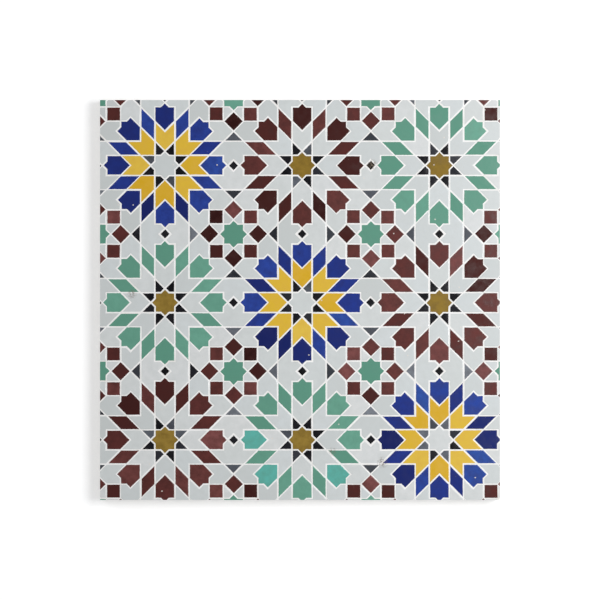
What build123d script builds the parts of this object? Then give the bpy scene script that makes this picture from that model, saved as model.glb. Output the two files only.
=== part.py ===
from build123d import *
import os
from math import ceil, cos, radians, sqrt

# Moroccan mosaic tile: a square panel of hand-cut glazed tesserae on a cast mortar bed.
# Millimetres. The origin is the centre of the underside, +Z is the way the glazed face looks,
# and +Y is the top of the pattern.

# Panel
panel_side = 500.0
bed_thickness = 14.0

# Tesserae: a flank leans in from the glazed face down to the bed, so that mortar can grip it
tessera_height = 11.0
flank_taper = 7.0
joint_width = 1.3
smallest_slice = 20.0

bed_plane = Plane.XY.offset(bed_thickness)
glazed_plane = Plane.XY.offset(bed_thickness + tessera_height)

# Pattern: an eight-fold rosette repeats at this pitch, and the middle rosette is off the centre
rosette_pitch = 171.5
pattern_shift_x = 2.7
pattern_shift_y = -3.3

# Lengths of the pattern in strands. One strand is half the width of a petal, and the corners of
# every outline below are counted in strands from the middle of its rosette, star or joint.
root2 = sqrt(2)
strand = rosette_pitch / (8 + 4 * root2)
kite_foot = root2 - 1
diamond_reach = 2 - root2
eighth_turn = 45.0
star_waist = 1 / cos(radians(eighth_turn / 2))

star_outline = []
for point in range(8):
    tip = Vector(root2, 0).rotate(Axis.Z, eighth_turn * point)
    waist = Vector(star_waist, 0).rotate(Axis.Z, eighth_turn * (point + 0.5))
    star_outline += [(tip.X, tip.Y), (waist.X, waist.Y)]

# A kite fills the angle between two tips of a star.
kite_outline = [(1, kite_foot), (root2, 0), (1 + root2, 1), (1, 1)]

# An arrowhead stands on a tip of the centre star, with its barbs outward.
arrowhead_outline = [
    (0, root2),
    (1, 1 + root2),
    (1, 3 + root2),
    (0, 2 + root2),
    (-1, 3 + root2),
    (-1, 1 + root2),
]

# A rhomb lies between two arrowheads.
rhomb_outline = [
    (1, 1 + root2),
    (1 + root2, 1 + 2 * root2),
    (1 + root2, 3 + 2 * root2),
    (1, 3 + root2),
]

# A petal stands in the notch of an arrowhead and ends in a small point.
petal_outline = [
    (0, 2 + root2),
    (1, 3 + root2),
    (1, 3 + 2 * root2),
    (kite_foot, 3 + 2 * root2),
    (0, 2 + 3 * root2),
    (-kite_foot, 3 + 2 * root2),
    (-1, 3 + 2 * root2),
    (-1, 3 + root2),
]

# A square touches a tip of the corner star with one corner.
square_outline = [(root2, 0), (1 + root2, -1), (2 + root2, 0), (1 + root2, 1)]

# An elbow runs from the corner star's squares out between the rosettes, left or right handed.
left_elbow_outline = [
    (-1, -1 - root2),
    (0, -2 - root2),
    (-1, -3 - root2),
    (-3, -3 - root2),
    (-2, -2 - root2),
    (-1 - root2, -3),
    (-1 - root2, -1 - root2),
]
right_elbow_outline = [(y, x) for x, y in left_elbow_outline]

# Where four petals of two rosettes meet there is a diamond, with a crown and a triangle at
# each side of it.
diamond_outline = [
    (diamond_reach, 0),
    (0, diamond_reach),
    (-diamond_reach, 0),
    (0, -diamond_reach),
]
crown_outline = [
    (0, -diamond_reach),
    (kite_foot, -1),
    (1, -1),
    (1, -1 - root2),
    (1 + root2, -1),
    (1 + root2, 1),
    (1, 1 + root2),
    (1, 1),
    (kite_foot, 1),
    (0, diamond_reach),
    (diamond_reach, 0),
]
triangle_outline = [(1 + root2, -1), (2 + root2, 0), (1 + root2, 1)]


def tessera(outline):
    """One whole tessera, full size at the glazed face and smaller at its foot on the bed."""
    corners = [(x * strand, y * strand) for x, y in outline]
    with BuildPart() as piece:
        with BuildSketch(glazed_plane):
            with BuildLine():
                Polyline(*corners, close=True)
            make_face()
            offset(amount=-joint_width / 2, kind=Kind.INTERSECTION)
        extrude(amount=-tessera_height)
        flanks = piece.faces().filter_by(Plane.XY, reverse=True)
        draft(flanks, neutral_plane=glazed_plane, angle=-flank_taper)
    return piece.part


star = tessera(star_outline)
kite = tessera(kite_outline)
arrowhead = tessera(arrowhead_outline)
rhomb = tessera(rhomb_outline)
petal = tessera(petal_outline)
square = tessera(square_outline)
left_elbow = tessera(left_elbow_outline)
right_elbow = tessera(right_elbow_outline)
diamond = tessera(diamond_outline)
crown = tessera(crown_outline)
triangle = tessera(triangle_outline)


def grid_point(column, row):
    """The middle of a repeat, or with halves a corner or joint between repeats."""
    return (pattern_shift_x + column * rosette_pitch, pattern_shift_y + row * rosette_pitch)


# Enough repeats to cover the panel, whose edges cut through the outermost ones
farthest_edge = panel_side / 2 + max(abs(pattern_shift_x), abs(pattern_shift_y))
reach = ceil(farthest_edge / rosette_pitch - 0.5)
rosette_steps = range(-reach, reach + 1)
joint_steps = [step - 0.5 for step in range(-reach, reach + 2)]

# Rosettes of one colour stand on the diagonals of the grid.
rosette_colours = ["blue", "red", "green"]
rosettes = {colour: [] for colour in rosette_colours}
for column in rosette_steps:
    for row in rosette_steps:
        colour = rosette_colours[(column + row) % len(rosette_colours)]
        rosettes[colour].append(grid_point(column, row))
all_rosettes = rosettes["blue"] + rosettes["red"] + rosettes["green"]
star_corners = [grid_point(column, row) for column in joint_steps for row in joint_steps]
upright_joints = [grid_point(column, row) for column in joint_steps for row in rosette_steps]
level_joints = [grid_point(column, row) for column in rosette_steps for row in joint_steps]


def turned(points, number, first_turn=0.0):
    """A place at each point for each of a number of even turns."""
    places = []
    for x, y in points:
        for count in range(number):
            places.append(Location((x, y, 0), (0, 0, first_turn + 360 * count / number)))
    return places


joints_both_ways = turned(level_joints, 2) + turned(upright_joints, 2, first_turn=90)

fields = {
    "white_centre_stars": [(star, turned(rosettes["blue"], 1))],
    "ochre_centre_stars": [(star, turned(rosettes["red"] + rosettes["green"], 1))],
    "black_kites": [(kite, turned(all_rosettes, 8))],
    "yellow_arrowheads": [(arrowhead, turned(rosettes["blue"], 8))],
    "white_arrowheads": [(arrowhead, turned(rosettes["red"] + rosettes["green"], 8))],
    "blue_rhombs": [(rhomb, turned(rosettes["blue"], 8))],
    "red_rhombs": [(rhomb, turned(rosettes["red"], 8))],
    "green_rhombs": [(rhomb, turned(rosettes["green"], 8))],
    "blue_petals": [(petal, turned(rosettes["blue"], 8))],
    "red_petals": [(petal, turned(rosettes["red"], 8))],
    "green_petals": [(petal, turned(rosettes["green"], 8))],
    "green_corner_stars": [(star, turned(star_corners, 1))],
    "red_squares": [(square, turned(star_corners, 8))],
    "white_kites": [(kite, turned(star_corners, 8))],
    "white_elbows": [
        (left_elbow, turned(star_corners, 4)),
        (right_elbow, turned(star_corners, 4)),
    ],
    "black_diamonds": [(diamond, turned(level_joints + upright_joints, 1))],
    "white_crowns": [(crown, joints_both_ways)],
    "black_triangles": [(triangle, joints_both_ways)],
}

os.makedirs("parts", exist_ok=True)

# Mortar bed
with BuildPart() as mortar_bed:
    with BuildSketch(Plane.XY):
        Rectangle(panel_side, panel_side)
    extrude(amount=bed_thickness)
mortar_bed.part.label = "mortar_bed"
export_step(mortar_bed.part, "parts/mortar_bed.step")

# The saw's four cuts go straight down through the bed and the outermost tesserae.
with BuildPart() as sawn_block:
    with BuildSketch(bed_plane):
        Rectangle(panel_side, panel_side)
    extrude(amount=tessera_height)

# Fields of like tesserae. A slice too small to hold in the mortar falls out under the saw.
for name, shapes in fields.items():
    with BuildPart() as cut_field:
        for shape, places in shapes:
            with Locations(*places):
                add(shape)
        add(sawn_block.part, mode=Mode.INTERSECT)
    kept = cut_field.solids().filter_by(lambda piece: piece.volume > smallest_slice)
    with BuildPart() as field:
        add(kept)
    field.part.label = name
    export_step(field.part, f"parts/{name}.step")
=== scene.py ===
"""Moroccan mosaic tile: the finish of the hand-cut tesserae, the grout between them and the bed.

Metres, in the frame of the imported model: +Z is the way the glazed face looks, +Y the top of the
pattern. Real sizes are written in millimetres and turned to metres with MM.
"""

import math
import random

import bpy
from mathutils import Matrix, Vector


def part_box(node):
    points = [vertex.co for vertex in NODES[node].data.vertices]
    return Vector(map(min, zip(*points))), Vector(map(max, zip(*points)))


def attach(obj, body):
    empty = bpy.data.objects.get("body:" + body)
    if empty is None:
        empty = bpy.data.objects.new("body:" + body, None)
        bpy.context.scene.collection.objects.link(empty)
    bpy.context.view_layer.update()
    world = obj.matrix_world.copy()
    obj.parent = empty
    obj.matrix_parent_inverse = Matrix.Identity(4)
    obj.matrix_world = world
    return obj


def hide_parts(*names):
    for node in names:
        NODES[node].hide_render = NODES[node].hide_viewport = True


MM = 0.001

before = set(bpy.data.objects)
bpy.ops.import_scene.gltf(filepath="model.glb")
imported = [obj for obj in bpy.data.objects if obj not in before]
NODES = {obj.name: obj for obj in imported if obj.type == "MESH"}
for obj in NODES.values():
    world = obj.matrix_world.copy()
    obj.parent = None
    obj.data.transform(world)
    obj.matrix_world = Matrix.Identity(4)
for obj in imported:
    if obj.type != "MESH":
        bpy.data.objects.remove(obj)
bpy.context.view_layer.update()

bed_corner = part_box("mortar_bed")[1]
HALF_PANEL = bed_corner.x
BED_TOP = bed_corner.z
FACE_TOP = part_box("white_crowns")[1].z

# The pattern repeats at this pitch, both ways.
ROSETTE_PITCH = 171.5 * MM

# How the cutter's hammer shows in each tessera
EDGE_STEP = 2.4 * MM
FINE_ARRIS = 0.14 * MM
ARRIS_DROP = 0.4 * MM
GLAZE_ROLL_WIDTH = 0.55 * MM
GLAZE_ROLL_DROP = 0.14 * MM
GLAZE_CHIP = 0.13 * MM

# How the layer's hand, the grout and the saw show
TILT_DEG = 0.5
GROUT_BELOW_FACE = 0.3 * MM
GROUT_BITE = 0.5 * MM
POCKET_DEPTH = 3.0 * MM
GROUT_BEHIND_SAW = 0.03 * MM
SAW_ALLOWANCE = 3.0 * MM
ON_SIDE = 0.002 * MM
THINNEST_NECK = 0.15 * MM
THINNEST_TIP = 0.3 * MM
THICKEST_TIP = 2.2 * MM
TIP_INWARD = 1.0 * MM
BELOW_CAD_TOP = 0.03 * MM

# A tessera's tone is chance between 0 and the common tone, plus a painted glare that lightens the
# tones towards the lower right of the panel. Only the listed tesserae go beyond it.
PAINTED_GLARE_SLOPE = 0.2
COMMON_TONE = 0.85
FIRST_SEED = 100
SEED_STEP = 10

# What counts as one point, as one level, as a flat face, as an upright face and as a sharp edge
MERGE_REACH = 0.001 * MM
LEVEL_TOLERANCE = 0.02 * MM
FLAT_WITHIN = math.radians(1.0)
UPRIGHT_NORMAL = 0.3
SHARP_FROM = math.radians(32)

# The photograph's frame, 600 pixels across, in which the panel spans 400
PHOTO_WIDTH_PX = 600
PANEL_WIDTH_PX = 400
CAMERA_LENS_MM = 150.0
SENSOR_MM = 36.0

FLOOR_SIDE = 12
FLOOR_BELOW = 0.1 * MM

# The roughness of the glaze where it is glossiest and where it is dullest
GLOSSIEST = 0.12
DULLEST = 0.26


def colour(hex_code):
    """An sRGB hex colour as linear red, green, blue and alpha."""
    channels = []
    for start in (0, 2, 4):
        value = int(hex_code[start : start + 2], 16) / 255
        if value <= 0.04045:
            channels.append(value / 12.92)
        else:
            channels.append(((value + 0.055) / 1.055) ** 2.4)
    return (*channels, 1.0)


def node(tree, kind, settings=None, links=None):
    """Adds a node, sets its properties or input values, and links its inputs from outputs."""
    made = tree.nodes.new(kind)
    for name, value in (settings or {}).items():
        if isinstance(name, str) and hasattr(made, name):
            setattr(made, name, value)
        else:
            made.inputs[name].default_value = value
    for name, output in (links or {}).items():
        tree.links.new(output, made.inputs[name])
    return made


def new_material(name):
    """An empty material, its node tree and its Principled shader."""
    material = bpy.data.materials.new(name)
    material.use_nodes = True
    tree = material.node_tree
    tree.nodes.clear()
    shader = node(tree, "ShaderNodeBsdfPrincipled")
    node(tree, "ShaderNodeOutputMaterial", links={"Surface": shader.outputs["BSDF"]})
    return material, tree, shader


def blend_colours(tree, factor, first, second):
    """A colour between two, each an RGBA value or a node's output."""
    mix = node(tree, "ShaderNodeMix", {"data_type": "RGBA"})
    tree.links.new(factor, mix.inputs[0])
    for socket, value in ((mix.inputs[6], first), (mix.inputs[7], second)):
        if isinstance(value, tuple):
            socket.default_value = value
        else:
            tree.links.new(value, socket)
    return mix.outputs[2]


def ramp(tree, value, stops):
    """A colour ramp over a value. Each stop is a place and an RGBA colour."""
    made = node(tree, "ShaderNodeValToRGB", links={"Fac": value})
    elements = made.color_ramp.elements
    while len(elements) < len(stops):
        elements.new(0.5)
    for element, (place, rgba) in zip(elements, stops):
        element.position = place
        element.color = rgba
    return made.outputs["Color"]


def noise(tree, place, size_mm, detail, roughness=0.5):
    """The value of a noise over a place, in patches about size_mm wide."""
    settings = {"Scale": 1 / (size_mm * MM), "Detail": detail, "Roughness": roughness}
    return node(tree, "ShaderNodeTexNoise", settings, {"Vector": place}).outputs["Fac"]


def cells(tree, place, size_mm):
    """Points strewn about size_mm apart: the distance to the nearest, and its chance colour."""
    settings = {"voronoi_dimensions": "2D", "Scale": 1 / (size_mm * MM), "Randomness": 1.0}
    outputs = node(tree, "ShaderNodeTexVoronoi", settings, {"Vector": place}).outputs
    return outputs["Distance"], outputs["Color"]


def remap(tree, value, old_low, old_high, new_low, new_high):
    """A value carried from one range over to another and held at the ends."""
    settings = {"From Min": old_low, "From Max": old_high, "To Min": new_low, "To Max": new_high}
    return node(tree, "ShaderNodeMapRange", settings, {"Value": value}).outputs["Result"]


def arithmetic(tree, operation, *operands):
    """The value of a math node. Each operand is a number or a node's output."""
    made = node(tree, "ShaderNodeMath", {"operation": operation})
    for number, operand in enumerate(operands):
        if isinstance(operand, float):
            made.inputs[number].default_value = operand
        else:
            tree.links.new(operand, made.inputs[number])
    return made.outputs["Value"]


def bumps(tree, height, strength, height_mm, under=None, inward=False):
    """The normal of a skin of bumps, laid over the bumps under it."""
    settings = {"Strength": strength, "Distance": height_mm * MM, "invert": inward}
    links = {"Height": height}
    if under is not None:
        links["Normal"] = under
    return node(tree, "ShaderNodeBump", settings, links).outputs["Normal"]


# Dirt rubbed in round a few joints: x, y and reach in millimetres, and strength
DIRT = [
    (90.0, 168.8, 8.0, 1.2),
    (-210.0, 7.5, 7.0, 1.2),
    (41.0, -189.0, 6.0, 1.2),
    (103.0, -203.0, 8.0, 1.5),
]


def dirtied(tree, place, clean):
    """Brown-grey dirt over a clean colour, strongest in the middle of each smear and ragged."""
    ragged = remap(tree, noise(tree, place, 2.5, 3.0, 0.7), 0.42, 0.62, 0.0, 1.0)
    for x, y, reach, strength in DIRT:
        away = node(
            tree,
            "ShaderNodeVectorMath",
            {"operation": "DISTANCE", 1: (x * MM, y * MM, FACE_TOP)},
            {0: place},
        )
        spread = remap(tree, away.outputs["Value"], 0.0, reach * MM, strength, 0.0)
        dirt = arithmetic(tree, "MULTIPLY", spread, ragged)
        clean = blend_colours(tree, dirt, clean, colour("776A5E"))
    return clean


def glaze(name, stops, cloud, cloud_strength):
    """Tin or lead glaze, brushed on a fired biscuit and melted in a wood kiln. Each tessera has a
    tone of its own from its place in the kiln, with a painted glare that lightens the tones towards
    the lower right of the panel. The melt leaves soft clouds, a wavy skin and pinholes."""
    material, tree, shader = new_material(name)
    place = node(tree, "ShaderNodeTexCoord").outputs["Object"]
    tone_and_painted_glare = node(tree, "ShaderNodeAttribute", {"attribute_name": "tone_and_painted_glare"})
    piece_colour = ramp(tree, tone_and_painted_glare.outputs["Fac"], stops)

    # Clouds a few millimetres across, where the glaze lies thicker or thinner
    clouds = noise(tree, place, 9, 4.0, 0.6)
    cloud_share = remap(tree, clouds, 0.35, 0.7, 0.0, cloud_strength)
    clouded = blend_colours(tree, cloud_share, piece_colour, cloud)

    # Pinholes where gas escaped from the melt, about half a millimetre wide and few
    pit_distance, pit_chance = cells(tree, place, 3.2)
    pit_mask = remap(tree, pit_distance, 0.06, 0.11, 1.0, 0.0)
    pit_choice = arithmetic(tree, "GREATER_THAN", pit_chance, 0.93)
    pit = arithmetic(tree, "MULTIPLY", pit_mask, pit_choice)
    pit_tint = arithmetic(tree, "MULTIPLY", pit, 0.45)
    pitted = blend_colours(tree, pit_tint, clouded, colour("A08A74"))

    # Now and then a flake of glaze about a millimetre wide has sprung off and shows pale biscuit.
    flake_distance, flake_chance = cells(tree, place, 17)
    ragged = noise(tree, place, 1.5, 2.0)
    flake_edge = arithmetic(tree, "MULTIPLY_ADD", ragged, 0.09, flake_distance)
    flake_mask = remap(tree, flake_edge, 0.085, 0.1, 0.85, 0.0)
    flake_choice = arithmetic(tree, "GREATER_THAN", flake_chance, 0.86)
    flake = arithmetic(tree, "MULTIPLY", flake_mask, flake_choice)
    flaked = blend_colours(tree, flake, pitted, colour("E4DDD4"))
    tree.links.new(dirtied(tree, place, flaked), shader.inputs["Base Color"])

    # The skin of the melt waves over about 6 mm and carries a finer orange-peel of 1 mm.
    wave = bumps(tree, noise(tree, place, 6, 2.0), 0.5, 0.25)
    peel = bumps(tree, noise(tree, place, 1.1, 1.0), 0.25, 0.04, wave)
    skin = bumps(tree, pit, 0.3, 0.2, peel, inward=True)
    tree.links.new(skin, shader.inputs["Normal"])

    # Handling and cleaning leave the gloss a little uneven.
    gloss = remap(tree, clouds, 0.3, 0.7, GLOSSIEST, DULLEST)
    tree.links.new(gloss, shader.inputs["Roughness"])
    shader.inputs["IOR"].default_value = 1.55
    return material


def earthy(name, base, dark, light, grain_mm, bump_mm, roughness):
    """A fired or cast earthy surface: two tones of grain under a fine rough skin."""
    material, tree, shader = new_material(name)
    place = node(tree, "ShaderNodeTexCoord").outputs["Object"]
    patches = noise(tree, place, 14, 5.0, 0.65)
    grains = noise(tree, place, grain_mm, 3.0, 0.7)
    patched = ramp(tree, patches, [(0.3, dark), (0.5, base), (0.72, light)])
    grain_share = remap(tree, grains, 0.55, 0.75, 0.0, 0.35)
    grained = blend_colours(tree, grain_share, patched, dark)
    tree.links.new(dirtied(tree, place, grained), shader.inputs["Base Color"])
    tree.links.new(bumps(tree, grains, 0.8, bump_mm), shader.inputs["Normal"])
    shader.inputs["Roughness"].default_value = roughness
    return material


# Opaque white tin glaze: every white tessera is a little cooler, greener or warmer than the next
white_glaze = glaze(
    "white_tin_glaze",
    [
        (0.0, colour("CBCFCE")),
        (0.3, colour("D6DBDC")),
        (0.55, colour("D5D9D8")),
        (0.8, colour("DEE0E0")),
        (1.0, colour("E4E3E1")),
    ],
    colour("CACECD"),
    0.5,
)

# Cobalt blue glaze, from near navy where it is thick to a clear mid blue
blue_glaze = glaze(
    "cobalt_blue_glaze",
    [
        (0.0, colour("192360")),
        (0.35, colour("273A8D")),
        (0.7, colour("304BA2")),
        (0.85, colour("3457A8")),
    ],
    colour("1B2360"),
    0.5,
)

# Antimony yellow glaze, egg yellow with orange clouds
yellow_glaze = glaze(
    "antimony_yellow_glaze",
    [
        (0.0, colour("D9AA28")),
        (0.5, colour("E1B93A")),
        (1.0, colour("E8C658")),
    ],
    colour("DDB144"),
    0.6,
)

# Copper green glaze, soft sea green, a few turned towards turquoise
green_glaze = glaze(
    "copper_green_glaze",
    [
        (0.0, colour("5E9681")),
        (0.45, colour("669C88")),
        (0.85, colour("70A994")),
        (1.0, colour("63B5AA")),
    ],
    colour("5D927F"),
    0.5,
)

# Manganese and iron glaze, oxblood brown, its lightest tones a rosy grey of painted sheen
oxblood_glaze = glaze(
    "oxblood_glaze",
    [
        (0.0, colour("301311")),
        (0.35, colour("5A2D2A")),
        (0.65, colour("6E3E3B")),
        (0.85, colour("84504E")),
    ],
    colour("42211E"),
    0.6,
)

# Black manganese glaze, some pieces fired thin to charcoal; the palest grey at the top of the ramp
# is painted sheen
black_glaze = glaze(
    "manganese_black_glaze",
    [
        (0.0, colour("0A0A0D")),
        (0.45, colour("141418")),
        (0.66, colour("35373E")),
        (0.85, colour("71767F")),
    ],
    colour("2A292D"),
    0.5,
)

# The same glaze laid thick on the small diamonds, none of which fired thin
deep_black_glaze = glaze(
    "thick_manganese_glaze",
    [
        (0.0, colour("08080A")),
        (0.5, colour("121215")),
        (0.85, colour("1F2024")),
    ],
    colour("232326"),
    0.4,
)

# The same glaze laid thin, as on most of the triangles: slate to charcoal
slate_glaze = glaze(
    "thin_manganese_glaze",
    [
        (0.0, colour("101014")),
        (0.3, colour("3E4147")),
        (0.6, colour("5E626A")),
        (0.85, colour("82878F")),
    ],
    colour("3A3B41"),
    0.5,
)

# Ochre glaze of the coloured rosettes' centre stars, olive brown and mottled
ochre_glaze = glaze(
    "ochre_glaze",
    [(0.0, colour("826622")), (0.45, colour("90742E")), (0.85, colour("9E823C"))],
    colour("6B531A"),
    0.6,
)

# Fired clay body, bare at the nibbled arris and down the flanks, pale pinkish cream
biscuit = earthy(
    "fired_clay_biscuit",
    colour("ECE4DB"),
    colour("DFCFC2"),
    colour("F2EDE6"),
    0.9,
    0.08,
    0.85,
)

# White cement and lime grout, wiped flush and a little sandy
grout_lime = earthy(
    "white_lime_grout",
    colour("F4F3F1"),
    colour("E9E7E3"),
    colour("F8F7F6"),
    0.7,
    0.06,
    0.9,
)

# Sand and cement mortar of the bed, as it comes out of the mould, pale grey with sand in it
bed_mortar = earthy(
    "cast_bed_mortar",
    colour("B9B2A5"),
    colour("9D9587"),
    colour("C8C2B6"),
    1.6,
    0.35,
    0.92,
)


def deselect_all():
    """Leaves nothing selected, in object mode."""
    if bpy.context.object and bpy.context.object.mode != "OBJECT":
        bpy.ops.object.mode_set(mode="OBJECT")
    bpy.ops.object.select_all(action="DESELECT")


def make_active(thing):
    """Selects one object alone and makes it the active one."""
    deselect_all()
    thing.select_set(True)
    bpy.context.view_layer.objects.active = thing


def merged_copy(cad_node, name):
    """A copy of a CAD node with its triangles merged and its flat faces whole again."""
    piece = cad_node.copy()
    piece.data = cad_node.data.copy()
    piece.name = name
    piece.data.name = name
    for key in list(piece.keys()):
        del piece[key]
    piece.parent = None
    bpy.context.scene.collection.objects.link(piece)
    make_active(piece)
    bpy.ops.object.mode_set(mode="EDIT")
    bpy.ops.mesh.select_all(action="SELECT")
    bpy.ops.mesh.remove_doubles(threshold=MERGE_REACH)
    bpy.ops.mesh.dissolve_limited(angle_limit=FLAT_WITHIN)
    bpy.ops.object.mode_set(mode="OBJECT")
    return piece


def select_edges(mesh, wanted):
    """Selects the edges for which wanted(first corner, second corner) holds, and nothing else."""
    for face in mesh.polygons:
        face.select = False
    for corner in mesh.vertices:
        corner.select = False
    count = 0
    for edge in mesh.edges:
        first, second = (mesh.vertices[index].co for index in edge.vertices)
        edge.select = wanted(first, second)
        count += edge.select
    return count


def cut_arris_into_steps(piece):
    """Halves the edges along the arris and the glaze's edge down to the hammer's bite."""
    glaze_edge = FACE_TOP - GLAZE_ROLL_DROP
    levels = (glaze_edge, glaze_edge - ARRIS_DROP)

    def at_level(corner, level):
        return abs(corner.z - level) < LEVEL_TOLERANCE

    def long_arris(first, second):
        on_arris = any(at_level(first, level) and at_level(second, level) for level in levels)
        return on_arris and (first - second).length > EDGE_STEP

    while select_edges(piece.data, long_arris):
        bpy.ops.object.mode_set(mode="EDIT")
        bpy.ops.mesh.select_mode(type="EDGE")
        bpy.ops.mesh.subdivide(number_cuts=1, ngon=True)
        bpy.ops.object.mode_set(mode="OBJECT")


def select_glazed_faces(mesh):
    """Selects the faces that lie in the top plane and look up."""
    for face in mesh.polygons:
        face.select = face.normal.z > 0.99 and face.center.z > FACE_TOP - LEVEL_TOLERANCE


def break_arris(piece, arris_width, chance):
    """Shapes the top of each tessera: a broken arris, the glaze's ragged edge, its rolled rim."""
    select_edges(piece.data, lambda first, second: False)
    select_glazed_faces(piece.data)
    bpy.ops.object.mode_set(mode="EDIT")
    bpy.ops.mesh.select_mode(type="FACE")
    bpy.ops.transform.translate(value=(0, 0, -ARRIS_DROP - GLAZE_ROLL_DROP))
    bpy.ops.mesh.inset(thickness=arris_width, depth=ARRIS_DROP)
    bpy.ops.mesh.inset(thickness=GLAZE_ROLL_WIDTH, depth=GLAZE_ROLL_DROP)
    bpy.ops.object.mode_set(mode="OBJECT")
    cut_arris_into_steps(piece)
    for corner in piece.data.vertices:
        if abs(FACE_TOP - GLAZE_ROLL_DROP - corner.co.z) < LEVEL_TOLERANCE:
            corner.co.x += chance.uniform(-GLAZE_CHIP, GLAZE_CHIP)
            corner.co.y += chance.uniform(-GLAZE_CHIP, GLAZE_CHIP)


def give_materials(piece, glaze_material):
    """Glaze above the arris and bare biscuit below it."""
    piece.data.materials.clear()
    piece.data.materials.append(biscuit)
    piece.data.materials.append(glaze_material)
    glazed_from = FACE_TOP - GLAZE_ROLL_DROP - 0.6 * ARRIS_DROP
    for face in piece.data.polygons:
        face.material_index = int(face.center.z > glazed_from and face.normal.z > 0.5)


def lengthen_over_sides(piece, distance):
    """Draws the sawn ends out over the panel's sides, so that the saw can cut them again later.
    A foot that the saw only just misses would leave a neck of no width, so it moves in first."""
    for corner in piece.data.vertices:
        for axis in (0, 1):
            gap = HALF_PANEL - abs(corner.co[axis])
            if ON_SIDE < gap < THINNEST_NECK:
                corner.co[axis] = math.copysign(HALF_PANEL - THINNEST_NECK, corner.co[axis])
    for side in (-1, 1):
        for axis in (0, 1):
            for corner in piece.data.vertices:
                corner.select = side * corner.co[axis] > HALF_PANEL - ON_SIDE
            for edge in piece.data.edges:
                edge.select = all(piece.data.vertices[index].select for index in edge.vertices)
            for face in piece.data.polygons:
                face.select = all(piece.data.vertices[index].select for index in face.vertices)
            if not any(face.select for face in piece.data.polygons):
                continue
            step = [0.0, 0.0, 0.0]
            step[axis] = side * distance
            bpy.ops.object.mode_set(mode="EDIT")
            bpy.ops.mesh.select_mode(type="FACE")
            bpy.ops.mesh.extrude_region_move(TRANSFORM_OT_translate={"value": step})
            bpy.ops.object.mode_set(mode="OBJECT")
    bpy.ops.object.mode_set(mode="EDIT")
    bpy.ops.mesh.select_all(action="SELECT")
    bpy.ops.mesh.dissolve_limited(angle_limit=FLAT_WITHIN)
    bpy.ops.object.mode_set(mode="OBJECT")


def saw_sides(piece):
    """Cuts a piece off flush with the panel's four sides, where the saw bares the biscuit."""
    make_active(piece)
    bpy.ops.object.mode_set(mode="EDIT")
    for side in (-1, 1):
        for axis in (0, 1):
            plane_point = [0.0, 0.0, 0.0]
            plane_normal = [0.0, 0.0, 0.0]
            plane_point[axis] = side * HALF_PANEL
            plane_normal[axis] = side
            bpy.ops.mesh.select_all(action="SELECT")
            bpy.ops.mesh.bisect(
                plane_co=plane_point,
                plane_no=plane_normal,
                use_fill=True,
                clear_outer=True,
                threshold=MERGE_REACH,
            )
    bpy.ops.object.mode_set(mode="OBJECT")
    for face in piece.data.polygons:
        if abs(face.normal.z) < UPRIGHT_NORMAL:
            face.material_index = 0


def tone_and_painted_glare_at(chance, place, standouts):
    """A tessera's tone: mostly chance, with a painted glare that lightens it towards the lower
    right, set for the standouts.
    """
    # Painted glare: the tones lighten towards the lower right of the panel.
    painted_glare = (place.x - place.y) / (4 * HALF_PANEL)
    tone_and_painted_glare = COMMON_TONE * chance.random() + painted_glare * PAINTED_GLARE_SLOPE
    for x, y, standout_tone in standouts:
        if math.hypot(place.x - x * MM, place.y - y * MM) < STANDOUT_REACH:
            return standout_tone
    return min(COMMON_TONE, max(0.0, tone_and_painted_glare))


def tips_over_sides(tesserae):
    """Copies of whole tesserae one repeat away, of which the saw leaves only a thin tip."""
    tips = []
    for part in tesserae:
        half_x = part.dimensions.x / 2
        half_y = part.dimensions.y / 2
        if max(abs(part.location.x) + half_x, abs(part.location.y) + half_y) > HALF_PANEL:
            continue
        for step_x, step_y in ((1, 0), (-1, 0), (0, 1), (0, -1)):
            x = part.location.x + step_x * ROSETTE_PITCH
            y = part.location.y + step_y * ROSETTE_PITCH
            left_by_saw = HALF_PANEL - max(abs(x) - half_x, abs(y) - half_y)
            if THINNEST_TIP < left_by_saw < THICKEST_TIP:
                tip = part.copy()
                tip.data = part.data.copy()
                tip.location.x = x - step_x * TIP_INWARD
                tip.location.y = y - step_y * TIP_INWARD
                bpy.context.scene.collection.objects.link(tip)
                tips.append(tip)
    return tips


def lay_by_hand(piece, yaw_deg, shift, with_tips, standouts, chance):
    """Splits a field into its tesserae, gives each a tone with painted glare in it, a tilt, turn
    and shift, and joins them.
    """
    make_active(piece)
    name = piece.name
    bpy.ops.object.mode_set(mode="EDIT")
    bpy.ops.mesh.select_all(action="SELECT")
    bpy.ops.mesh.separate(type="LOOSE")
    bpy.ops.object.mode_set(mode="OBJECT")
    bpy.ops.object.origin_set(type="ORIGIN_GEOMETRY", center="BOUNDS")
    tesserae = sorted(
        bpy.context.selected_objects,
        key=lambda part: (round(part.location.x, 4), round(part.location.y, 4)),
    )
    if with_tips:
        tesserae += tips_over_sides(tesserae)
    tilt = math.radians(TILT_DEG)
    yaw = math.radians(yaw_deg)
    for part in tesserae:
        part.select_set(True)
        # The tone carries the painted glare towards the lower right as well as the chance tone.
        tone_and_painted_glare = part.data.attributes.new("tone_and_painted_glare", "FLOAT", "POINT")
        value = tone_and_painted_glare_at(chance, part.location, standouts)
        tone_and_painted_glare.data.foreach_set("value", [value] * len(part.data.vertices))
        part.rotation_euler = (
            chance.uniform(-tilt, tilt),
            chance.uniform(-tilt, tilt),
            chance.uniform(-yaw, yaw),
        )
        lean_over_x = abs(part.rotation_euler.x) * part.dimensions.y
        lean_over_y = abs(part.rotation_euler.y) * part.dimensions.x
        part.location.x += chance.uniform(-shift, shift)
        part.location.y += chance.uniform(-shift, shift)
        part.location.z -= (lean_over_x + lean_over_y) / 2 + BELOW_CAD_TOP
    bpy.context.view_layer.objects.active = tesserae[0]
    bpy.ops.object.transform_apply(location=True, rotation=True, scale=True)
    bpy.ops.object.join()
    joined = bpy.context.view_layer.objects.active
    joined.name = name
    joined.data.name = name
    return joined


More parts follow.
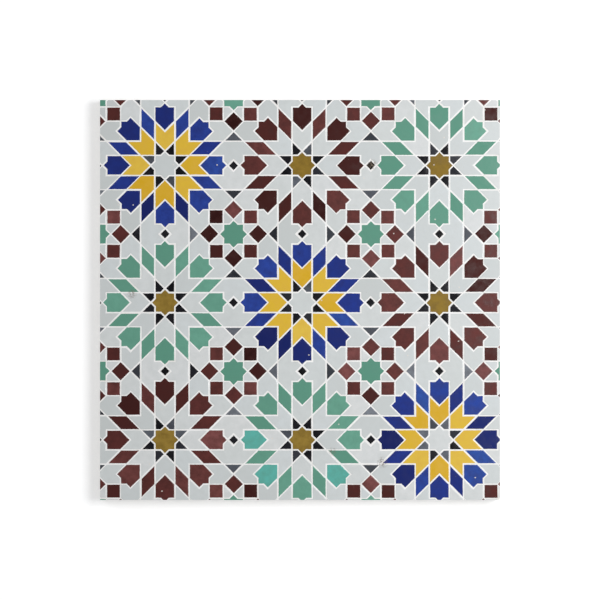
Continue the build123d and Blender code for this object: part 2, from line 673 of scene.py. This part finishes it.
def glazed_field(cad_name, glaze_material, arris_width, yaw_deg, shift, seed):
    """The finished tesserae of one shape and colour, in place of their CAD node."""
    piece = merged_copy(NODES[cad_name], cad_name + "_glazed")
    lengthen_over_sides(piece, SAW_ALLOWANCE)
    chance = random.Random(seed)
    break_arris(piece, arris_width, chance)
    give_materials(piece, glaze_material)
    with_tips = cad_name in TIPPED_FIELDS
    piece = lay_by_hand(piece, yaw_deg, shift, with_tips, STANDOUTS.get(cad_name, []), chance)
    saw_sides(piece)
    bpy.ops.object.shade_smooth_by_angle(angle=SHARP_FROM)
    flat_tops = piece.modifiers.new("flat_tops", "WEIGHTED_NORMAL")
    flat_tops.keep_sharp = True
    bpy.ops.object.modifier_apply(modifier="flat_tops")
    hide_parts(cad_name)
    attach(piece, "root")


# Each field's glaze, the width of its broken arris, and how far its tesserae turn and shift.
# The glaze flakes further back on the black pieces, and the squares and diamonds lie most askew.
FIELDS = {
    "white_centre_stars": (white_glaze, FINE_ARRIS, 0.8, 0.2 * MM),
    "ochre_centre_stars": (ochre_glaze, FINE_ARRIS, 1.2, 0.3 * MM),
    "black_kites": (black_glaze, 0.3 * MM, 2.0, 0.25 * MM),
    "yellow_arrowheads": (yellow_glaze, FINE_ARRIS, 0.7, 0.2 * MM),
    "white_arrowheads": (white_glaze, FINE_ARRIS, 0.7, 0.2 * MM),
    "blue_rhombs": (blue_glaze, FINE_ARRIS, 1.2, 0.3 * MM),
    "red_rhombs": (oxblood_glaze, FINE_ARRIS, 1.2, 0.3 * MM),
    "green_rhombs": (green_glaze, FINE_ARRIS, 1.2, 0.3 * MM),
    "blue_petals": (blue_glaze, FINE_ARRIS, 1.2, 0.3 * MM),
    "red_petals": (oxblood_glaze, FINE_ARRIS, 1.2, 0.3 * MM),
    "green_petals": (green_glaze, FINE_ARRIS, 1.2, 0.3 * MM),
    "green_corner_stars": (green_glaze, FINE_ARRIS, 1.5, 0.3 * MM),
    "red_squares": (oxblood_glaze, FINE_ARRIS, 2.8, 0.4 * MM),
    "white_kites": (white_glaze, FINE_ARRIS, 1.0, 0.2 * MM),
    "white_elbows": (white_glaze, FINE_ARRIS, 0.6, 0.2 * MM),
    "black_diamonds": (deep_black_glaze, 0.75 * MM, 4.0, 0.35 * MM),
    "white_crowns": (white_glaze, FINE_ARRIS, 0.6, 0.2 * MM),
    "black_triangles": (slate_glaze, 0.3 * MM, 1.5, 0.3 * MM),
}

# A few petals fired another colour than their neighbours: x and y in millimetres, and a tone,
# where 1 is the turquoise of the green glaze and 0 the navy of the blue.
STANDOUTS = {
    "green_petals": [(-60, -174, 1.0), (-43, -220, 1.0), (48, -220, 1.0)],
    "blue_petals": [(-43, -48, 0.0), (3, -66, 0.1), (110, -174, 0.0), (48, -48, 0.15)],
}
STANDOUT_REACH = 16 * MM

# The saw leaves tips of these at the sides that are too thin for the solids.
TIPPED_FIELDS = ("red_squares", "black_diamonds", "black_triangles")


def grout_net():
    """The grout: a slab over the bed, wiped below the faces, with a pocket for the head of every
    tessera. The pockets are tighter than the tesserae, so that grout meets each however it lies."""
    deselect_all()
    thickness = FACE_TOP - GROUT_BELOW_FACE - BED_TOP
    side = 2 * (HALF_PANEL - GROUT_BEHIND_SAW)
    bpy.ops.mesh.primitive_cube_add(size=1, location=(0, 0, BED_TOP + thickness / 2))
    slab = bpy.context.object
    slab.name = "grout"
    slab.scale = (side, side, thickness)
    bpy.ops.object.transform_apply(location=True, rotation=False, scale=True)
    cores = []
    for cad_name in FIELDS:
        core = merged_copy(NODES[cad_name], "core_" + cad_name)
        lengthen_over_sides(core, SAW_ALLOWANCE)
        cores.append(core)
    deselect_all()
    for core in cores:
        core.select_set(True)
    bpy.context.view_layer.objects.active = cores[0]
    bpy.ops.object.join()
    core = bpy.context.view_layer.objects.active
    bpy.ops.object.mode_set(mode="EDIT")
    bpy.ops.mesh.select_all(action="SELECT")
    bpy.ops.mesh.bisect(
        plane_co=(0.0, 0.0, FACE_TOP - POCKET_DEPTH),
        plane_no=(0.0, 0.0, -1.0),
        use_fill=True,
        clear_outer=True,
        threshold=MERGE_REACH,
    )
    bpy.ops.mesh.select_all(action="SELECT")
    bpy.ops.transform.shrink_fatten(value=-GROUT_BITE, use_even_offset=True)
    bpy.ops.object.mode_set(mode="OBJECT")
    for corner in core.data.vertices:
        corner.select = corner.co.z > FACE_TOP - 2 * GROUT_BITE
    bpy.ops.object.mode_set(mode="EDIT")
    bpy.ops.mesh.select_mode(type="VERT")
    bpy.ops.transform.translate(value=(0, 0, 2 * GROUT_BITE))
    bpy.ops.object.mode_set(mode="OBJECT")
    make_active(slab)
    pockets = slab.modifiers.new("pockets", "BOOLEAN")
    pockets.operation = "DIFFERENCE"
    pockets.solver = "EXACT"
    pockets.object = core
    bpy.ops.object.modifier_apply(modifier="pockets")
    bpy.data.objects.remove(core)
    slab.data.materials.clear()
    slab.data.materials.append(grout_lime)
    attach(slab, "root")


grout_net()
for number, (cad_name, making) in enumerate(FIELDS.items()):
    glazed_field(cad_name, *making, seed=FIRST_SEED + SEED_STEP * number)

NODES["mortar_bed"].data.materials.clear()
NODES["mortar_bed"].data.materials.append(bed_mortar)


def studio_floor():
    """A white floor under the panel, pure white to the camera but for the panel's shadow."""
    deselect_all()
    bpy.ops.mesh.primitive_plane_add(size=FLOOR_SIDE, location=(0, 0, -FLOOR_BELOW))
    floor = bpy.context.object
    floor.name = "studio_floor"
    material = bpy.data.materials.new("white_studio_floor")
    material.use_nodes = True
    tree = material.node_tree
    tree.nodes.clear()
    paper = node(tree, "ShaderNodeBsdfDiffuse", {"Color": (0.86, 0.86, 0.86, 1.0)})
    glow = node(tree, "ShaderNodeEmission", {"Color": (1.0, 1.0, 1.0, 1.0), "Strength": 0.4})
    seen = node(tree, "ShaderNodeAddShader", links={0: paper.outputs[0], 1: glow.outputs[0]})
    rays = node(tree, "ShaderNodeLightPath")
    mix = node(
        tree,
        "ShaderNodeMixShader",
        links={0: rays.outputs["Is Camera Ray"], 1: paper.outputs[0], 2: seen.outputs[0]},
    )
    node(tree, "ShaderNodeOutputMaterial", links={"Surface": mix.outputs[0]})
    floor.data.materials.append(material)


def studio_light():
    """A dim zenith over a brighter horizon, a broad key near the right side and a weaker fill."""
    world = bpy.data.worlds.new("studio")
    bpy.context.scene.world = world
    world.use_nodes = True
    tree = world.node_tree
    tree.nodes.clear()
    direction = node(tree, "ShaderNodeTexCoord").outputs["Generated"]
    height = node(tree, "ShaderNodeSeparateXYZ", links={"Vector": direction})
    horizon = (0.61, 0.62, 0.63, 1.0)
    middle = (0.5, 0.51, 0.52, 1.0)
    zenith = (0.055, 0.055, 0.06, 1.0)
    sky = ramp(tree, height.outputs["Z"], [(0.0, horizon), (0.6, middle), (0.93, zenith)])
    rays = node(tree, "ShaderNodeLightPath")
    shown = blend_colours(tree, rays.outputs["Is Camera Ray"], sky, (1.0, 1.0, 1.0, 1.0))
    background = node(tree, "ShaderNodeBackground", {"Strength": 1.0}, {"Color": shown})
    node(tree, "ShaderNodeOutputWorld", links={"Surface": background.outputs["Background"]})

    lamps = [
        ("key", (0.95, 0.15, 1.45), 0.9, 21.0),
        ("fill", (-1.7, 1.2, 1.6), 1.6, 9.0),
    ]
    for name, place, size, power in lamps:
        lamp = bpy.data.lights.new(name, "AREA")
        lamp.shape = "SQUARE"
        lamp.size = size
        lamp.energy = power
        thing = bpy.data.objects.new(name, lamp)
        thing.location = place
        aim = Vector((0, 0, FACE_TOP)) - Vector(place)
        thing.rotation_euler = aim.to_track_quat("-Z", "Y").to_euler()
        bpy.context.scene.collection.objects.link(thing)


def camera_above():
    """Looks straight down through a long lens, with the panel across 400 of 600 pixels."""
    lens = bpy.data.cameras.new("camera")
    lens.lens = CAMERA_LENS_MM
    lens.sensor_width = SENSOR_MM
    frame_width = 2 * HALF_PANEL * PHOTO_WIDTH_PX / PANEL_WIDTH_PX
    camera = bpy.data.objects.new("camera", lens)
    camera.location = (0, 0, FACE_TOP + frame_width * CAMERA_LENS_MM / SENSOR_MM)
    bpy.context.scene.collection.objects.link(camera)
    bpy.context.scene.camera = camera


studio_floor()
studio_light()
camera_above()
bpy.context.scene.view_settings.view_transform = "Standard"
